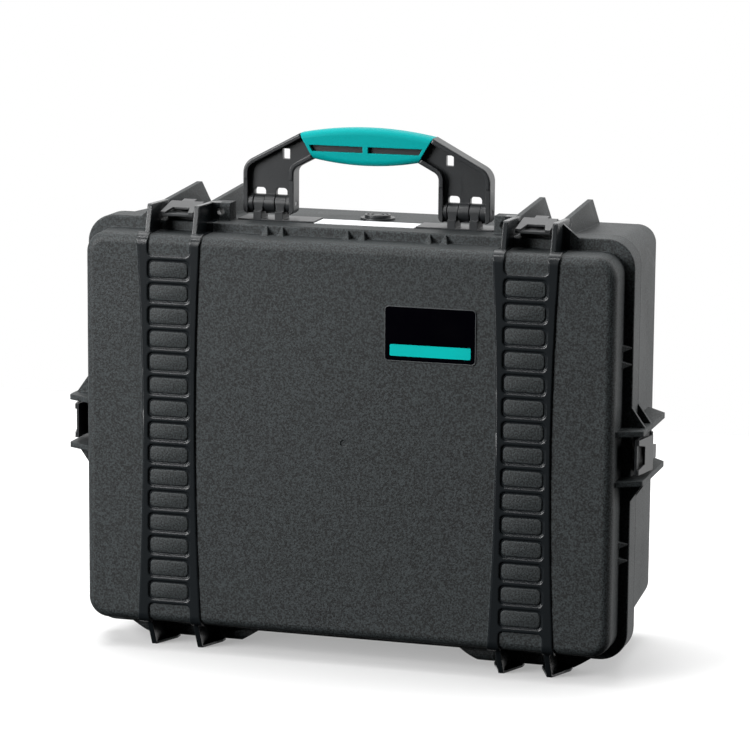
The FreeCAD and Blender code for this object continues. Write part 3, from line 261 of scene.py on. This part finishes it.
def handling():
    """Marks of use: soft rubbed patches and short fine scratches."""
    group, tree, given, out = new_group("handling", {"Patch": 14.0, "Scratch": 60.0},
                                        {"Rub": "Float", "Line": "Float"})
    place = tree.place()
    patch = tree.add("TexNoise", Vector=place, Scale=given["Patch"], Detail=5.0, Roughness=0.6)
    tree.feed(out["Rub"], tree.fade(patch.outputs["Fac"], *RUB_SPAN))
    turned = tree.add("Mapping", Vector=place, Rotation=SCRATCH_TURN, Scale=SCRATCH_STRETCH).outputs[0]
    line = tree.add("TexNoise", Vector=turned, Scale=given["Scratch"], Detail=2.0, Distortion=0.6)
    thin = tree.math("ABSOLUTE", tree.math("SUBTRACT", line.outputs["Fac"], NOISE_MIDDLE))
    tree.feed(out["Line"], tree.fade(thin, 0.0, SCRATCH_HALF_WIDTH, 1.0, 0.0))
    return group


def soft_edge():
    """Rounded look on the mould's small edges, with a mask of where they lie."""
    group, tree, given, out = new_group("soft_edge", {"Radius": 0.6 * MM},
                                        {"Normal": "Vector", "Edge": "Float"})
    rounded = tree.add("Bevel", {"samples": EDGE_SAMPLES}, Radius=given["Radius"]).outputs[0]
    agreement = tree.add("VectorMath", {"operation": "DOT_PRODUCT"})
    tree.feed(agreement.inputs[0], rounded)
    tree.feed(agreement.inputs[1], tree.add("NewGeometry").outputs["Normal"])
    tree.feed(out["Normal"], rounded)
    tree.feed(out["Edge"], tree.fade(agreement.outputs["Value"], *EDGE_SPAN))
    return group


GRAIN = moulded_grain()
HANDLING = handling()
SOFT_EDGE = soft_edge()


def use(tree, group, **inputs):
    """Group placed in a material's tree with its own values; gives the group's outputs."""
    node = tree.nodes.new("ShaderNodeGroup")
    node.node_tree = group
    for name, source in inputs.items():
        tree.feed(node.inputs[name], source)
    return node.outputs


def start_material(name):
    """New material, its tree, and the inputs of its Principled BSDF."""
    material = bpy.data.materials.new(name)
    material.use_nodes = True
    return material, Tree(material.node_tree), material.node_tree.nodes["Principled BSDF"].inputs


def toned(colour, share):
    """The colour, darker or lighter by the share."""
    return tuple(share * part for part in colour[:3]) + (1,)


def plastic(name, colour, roughness, pebble, depth, edge=0.6 * MM, smooth=None, specular=0.4, speckle=0.25):
    """Moulded plastic. The mask argument, where given, builds from the tree a mask of the glossy rails and of
    painted shade in the grooves round the window pads; both get the rails' darker black.
    """
    material, tree, skin = start_material(name)
    grain = use(tree, GRAIN, Pebble=pebble)
    marks = use(tree, HANDLING)
    rim = use(tree, SOFT_EDGE, Radius=edge)
    lighter = toned(colour, 1 + speckle)
    tint = tree.blend(grain["Fleck"], toned(colour, 1 - speckle), lighter)
    tint = tree.blend(tree.math("MULTIPLY", grain["Tone"], TONE_AMOUNT), tint, lighter)
    tint = tree.blend(tree.math("MULTIPLY", rim["Edge"], WORN_AMOUNT), tint, toned(colour, WORN_SHARE))
    rough = tree.math("MULTIPLY_ADD", marks["Rub"], RUB_ROUGHNESS, roughness)
    rough = tree.math("MULTIPLY_ADD", marks["Line"], SCRATCH_ROUGHNESS, rough)
    if smooth:
        polish_and_groove_shade = smooth(tree)
        # Glossy rails and the painted shade in the window grooves both take the dark rail black
        tint = tree.blend(polish_and_groove_shade, tint, RAIL_BLACK_AND_GROOVE_SHADE)
        rough = tree.blend_values(polish_and_groove_shade, rough, POLISHED_ROUGHNESS)
        depth = tree.blend_values(polish_and_groove_shade, depth, depth * POLISHED_GRAIN_SHARE)
    bump = tree.add("Bump", Height=grain["Height"], Distance=depth, Normal=rim["Normal"], Strength=1.0)
    skin["Specular IOR Level"].default_value = specular
    tree.feed(skin["Base Color"], tint)
    tree.feed(skin["Roughness"], rough)
    tree.feed(skin["Normal"], bump.outputs[0])
    return material


def ladder_mask(tree):
    """Mask of the glossy places (rails, rungs and fins), and of painted shade: the dark rail black laid on the
    floor of the grooves round the pads of closed windows.
    """
    axes = tree.add("SeparateXYZ", Vector=tree.place()).outputs
    from_middle = tree.math("ABSOLUTE", tree.math("SUBTRACT", tree.math("ABSOLUTE", axes["X"]), LADDER_X))
    height = tree.math("ABSOLUTE", tree.math("SUBTRACT", axes["Z"], MIDDLE_Z))
    flared = tree.math("MULTIPLY_ADD", tree.math("MULTIPLY", height, height), RAIL_FLARE, RAIL_MIDDLE)
    inside = tree.math("LESS_THAN", from_middle, flared)
    rail = tree.math("GREATER_THAN", from_middle, LADDER_INNER)
    raised = tree.math("LESS_THAN", axes["Y"], FRONT_Y + RAISED_DEPTH)
    # Whole rows of closed windows count here. Only the grooves round the pads show there, so this paints shade
    # into them
    closed = tree.math("LESS_THAN", height, WINDOWS / 2 * WINDOW_PITCH)
    return tree.math("MULTIPLY", inside, tree.math("MAXIMUM", rail, tree.math("MAXIMUM", raised, closed)))


def film(name, colour, roughness, specular=0.3):
    """Printed or moulded flat film with a faint ripple."""
    material, tree, skin = start_material(name)
    marks = use(tree, HANDLING, Patch=40.0, Scratch=150.0)
    rubbed = tree.math("MULTIPLY", marks["Rub"], FILM_RUB_AMOUNT)
    ripple = tree.add("Bump", Height=marks["Rub"], Distance=FILM_RIPPLE)
    skin["Specular IOR Level"].default_value = specular
    tree.feed(skin["Base Color"], tree.blend(rubbed, colour, toned(colour, FILM_DEEPER_SHARE)))
    tree.feed(skin["Roughness"], tree.math("MULTIPLY_ADD", marks["Rub"], FILM_RUB_ROUGHNESS, roughness))
    tree.feed(skin["Normal"], ripple.outputs[0])
    return material


def steel(name, colour):
    """Drawn steel pin, bright or blacked."""
    material, tree, skin = start_material(name)
    marks = use(tree, HANDLING, Patch=90.0, Scratch=400.0)
    rough = tree.math("MULTIPLY_ADD", marks["Rub"], STEEL_RUB_ROUGHNESS, STEEL_ROUGHNESS)
    skin["Metallic"].default_value = 1.0
    tree.feed(skin["Base Color"], tree.blend(marks["Rub"], colour, toned(colour, STEEL_DARKER_SHARE)))
    tree.feed(skin["Roughness"], rough)
    return material


def dress(material, *names):
    """Give the named nodes the material."""
    for name in names:
        slots = nodes[name].data.materials
        slots.clear()
        slots.append(material)


def block(mesh, x, z, half_x, half_z, rise):
    """Block on the lid's face, let into it and standing out by the rise."""
    made = bmesh.ops.create_cube(mesh, size=2)["verts"]
    bmesh.ops.scale(mesh, vec=(half_x, (LET_IN + rise) / 2, half_z), verts=made)
    bmesh.ops.translate(mesh, vec=(x, FACE_Y + (LET_IN - rise) / 2, z), verts=made)


def upright_edges(mesh):
    """Edges that stand out from the lid's face."""
    return [edge for edge in mesh.edges if abs((edge.verts[1].co - edge.verts[0].co).y) > LET_IN]


def front_edges(mesh):
    """Sharp edges round the fronts."""
    mesh.normal_update()
    return [edge for edge in mesh.edges
            if max(vert.co.y for vert in edge.verts) < FACE_Y and edge.calc_face_angle() > SHARP_ANGLE]


def round_edges(mesh, edges, radius, steps):
    bmesh.ops.bevel(mesh, geom=edges, offset=radius, affect="EDGES", segments=steps, profile=0.5, material=-1)


def lid_piece(mesh, name, material):
    """Object made from the mesh that moves with the lid."""
    data = bpy.data.meshes.new(name)
    mesh.to_mesh(data)
    mesh.free()
    data.shade_smooth()
    data.materials.append(material)
    piece = bpy.data.objects.new(name, data)
    bpy.context.scene.collection.objects.link(piece)
    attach(piece, "lid")


def window_pads(material):
    """Grained pad in each closed window of the ladders, set in from the rungs by a narrow groove."""
    mesh = bmesh.new()
    for x in (-LADDER_X, LADDER_X):
        for number in range(WINDOWS):
            z = MIDDLE_Z + (number - WINDOWS // 2) * WINDOW_PITCH
            block(mesh, x, z, PAD_HALF_X, PAD_HALF_Z, PAD_RISE)
    round_edges(mesh, upright_edges(mesh), PAD_CORNER, PAD_CORNER_STEPS)
    round_edges(mesh, front_edges(mesh), PAD_EDGE, EDGE_STEPS)
    lid_piece(mesh, "window_pads", material)


def plate_frame(material):
    """Low soft-edged bezel round the name plate: a rounded block with its middle taken out."""
    low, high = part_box("name_plate")
    middle = (low + high) / 2
    half = (high - low) / 2
    out = BEZEL_GAP + BEZEL_WIDTH
    mesh = bmesh.new()
    block(mesh, middle.x, middle.z, half.x + out, half.z + out, BEZEL_RISE)
    round_edges(mesh, upright_edges(mesh), PLATE_CORNER + out, BEZEL_CORNER_STEPS)
    mesh.normal_update()
    caps = [face for face in mesh.faces if abs(face.normal.y) > FACING_Y]
    bmesh.ops.inset_region(mesh, faces=caps, thickness=BEZEL_WIDTH, use_even_offset=True)
    bmesh.ops.delete(mesh, geom=caps, context="FACES")
    bmesh.ops.bridge_loops(mesh, edges=[edge for edge in mesh.edges if edge.is_boundary])
    bmesh.ops.recalc_face_normals(mesh, faces=mesh.faces)
    round_edges(mesh, front_edges(mesh), BEZEL_EDGE, EDGE_STEPS)
    lid_piece(mesh, "plate_frame", material)


def finishes():
    """Every node's material, and the pieces that share one."""
    moulded = {"roughness": 0.6, "pebble": 1.35 * MM, "depth": 0.13 * MM, "edge": 1.5 * MM, "speckle": 0.85}
    satin = {"pebble": 0.6 * MM, "depth": 0.03 * MM}
    fine = {"pebble": 0.5 * MM, "depth": 0.02 * MM}
    case = plastic("case_plastic", CASE_BLACK, **moulded)
    dress(plastic("lid_plastic", CASE_BLACK, **moulded, smooth=ladder_mask), "lid_shell")
    dress(case, "base_shell")
    window_pads(case)
    # The bezel's lighter grey is partly a painted highlight of its edge
    plate_frame(plastic("bezel_plastic", BEZEL_GREY_AND_HIGHLIGHT, roughness=0.4, edge=0.4 * MM, **satin))
    dress(plastic("handle_plastic", LATCH_BLACK, roughness=0.36, edge=1.0 * MM, specular=0.5, **satin),
          "handle_frame", "handle_mount_left", "handle_mount_right")
    dress(plastic("claw_plastic", LATCH_BLACK, roughness=0.42, **satin),
          *(f"{name}_claw" for name in LATCH_NAMES))
    dress(plastic("lever_plastic", LEVER_BLACK, roughness=0.35, edge=0.9 * MM, specular=0.6, **satin),
          *(f"{name}_lever" for name in LATCH_NAMES))
    dress(plastic("grip_rubber", GRIP_TEAL, roughness=0.45, edge=1.0 * MM, specular=0.05, speckle=0.1, **fine),
          "handle_grip")
    dress(plastic("seal_rubber", SEAL_BLACK, roughness=0.7, pebble=0.5 * MM, depth=0.03 * MM),
          "lid_seal", "valve_seal")
    dress(plastic("valve_plastic", LATCH_BLACK, roughness=0.35, **fine),
          "valve_body", "valve_cap", "valve_nut")
    dress(film("plate_black", PLATE_BLACK, roughness=0.3, specular=0.02), "name_plate")
    dress(film("plate_teal", PLATE_TEAL, roughness=0.35, specular=0.1), "name_plate_inlay")
    dress(film("strip_foil", STRIP_WHITE, roughness=0.35), "id_label")
    dress(steel("bright_steel", STEEL), "hinge_pin_left", "hinge_pin_right", "handle_pin_left",
          "handle_pin_right", "handle_mount_screws")
    dress(steel("blacked_steel", BLACKED_STEEL),
          *(f"{name}_{part}_pin" for name in LATCH_NAMES for part in ("claw", "lever")))


def camera():
    """View from the front, to the right of the case and a little above it."""
    data = bpy.data.cameras.new("front_right_view")
    data.lens = CAMERA_LENS
    data.sensor_width = CAMERA_SENSOR
    data.clip_end = CAMERA_REACH
    obj = bpy.data.objects.new("front_right_view", data)
    obj.matrix_world = (Matrix.Translation(CAMERA_PLACE) @ Matrix.Rotation(CAMERA_TURN, 4, "Z")
                        @ Matrix.Rotation(CAMERA_TILT, 4, "X") @ Matrix.Rotation(CAMERA_ROLL, 4, "Z"))
    bpy.context.scene.collection.objects.link(obj)
    bpy.context.scene.camera = obj


def area_light(name, place, target, size, power):
    """Rectangular lamp that faces the target."""
    data = bpy.data.lights.new(name, "AREA")
    data.shape = "RECTANGLE"
    data.size, data.size_y = size
    data.energy = power
    obj = bpy.data.objects.new(name, data)
    aim = (Vector(target) - Vector(place)).to_track_quat("-Z", "Y").to_matrix().to_4x4()
    obj.matrix_world = Matrix.Translation(place) @ aim
    bpy.context.scene.collection.objects.link(obj)
    return obj


def surround():
    """Room that is white to the eye; what lights the case is bright behind it and dark in front and below."""
    world = bpy.data.worlds.new("white_room")
    world.use_nodes = True
    tree = Tree(world.node_tree)
    axes = tree.add("SeparateXYZ", Vector=tree.add("TexCoord").outputs["Generated"]).outputs
    behind = tree.fade(axes["Y"], *ROOM_Y_SPAN, ROOM_FRONT, ROOM_BACK)
    lit = tree.math("MULTIPLY", behind, tree.fade(axes["Z"], *ROOM_Z_SPAN))
    eye = tree.add("LightPath").outputs["Is Camera Ray"]
    sky = world.node_tree.nodes["Background"].inputs
    sky["Color"].default_value = WHITE
    tree.feed(sky["Strength"], tree.blend_values(eye, lit, 1.0))
    bpy.context.scene.world = world


def floor_finish():
    """Matt white with a faint cloud and a glow of its own."""
    material, tree, skin = start_material("floor_white")
    cloud = tree.add("TexNoise", Vector=tree.place(), Scale=FLOOR_CLOUD_SCALE).outputs["Fac"]
    shade = tree.math("MULTIPLY", cloud, FLOOR_CLOUD_AMOUNT)
    tree.feed(skin["Base Color"], tree.blend(shade, FLOOR_WHITE, FLOOR_GREY))
    skin["Roughness"].default_value = FLOOR_ROUGHNESS
    skin["Specular IOR Level"].default_value = 0.0
    skin["Emission Color"].default_value = WHITE
    skin["Emission Strength"].default_value = FLOOR_GLOW
    return material


def floor():
    """White sheet under the case. It takes the shadow, and throws no light back on the case."""
    mesh = bmesh.new()
    bmesh.ops.create_grid(mesh, x_segments=1, y_segments=1, size=1)
    bmesh.ops.scale(mesh, vec=(FLOOR_HALF_X, (FLOOR_BACK - FLOOR_FRONT) / 2, 1), verts=mesh.verts)
    bmesh.ops.translate(mesh, vec=(0, (FLOOR_BACK + FLOOR_FRONT) / 2, 0), verts=mesh.verts)
    data = bpy.data.meshes.new("floor")
    mesh.to_mesh(data)
    mesh.free()
    data.materials.append(floor_finish())
    sheet = bpy.data.objects.new("floor", data)
    bpy.context.scene.collection.objects.link(sheet)
    sheet.visible_diffuse = False
    sheet.visible_glossy = False
    return sheet


def studio():
    """White room, floor sheet and lamps. The floor's lamp lights nothing else."""
    bpy.context.scene.view_settings.view_transform = "Standard"
    surround()
    floor_only = bpy.data.collections.new("floor_only")
    floor_only.objects.link(floor())
    area_light(*FLOOR_LAMP).light_linking.receiver_collection = floor_only
    for lamp in CASE_LAMPS:
        area_light(*lamp)


finishes()
studio()
camera()
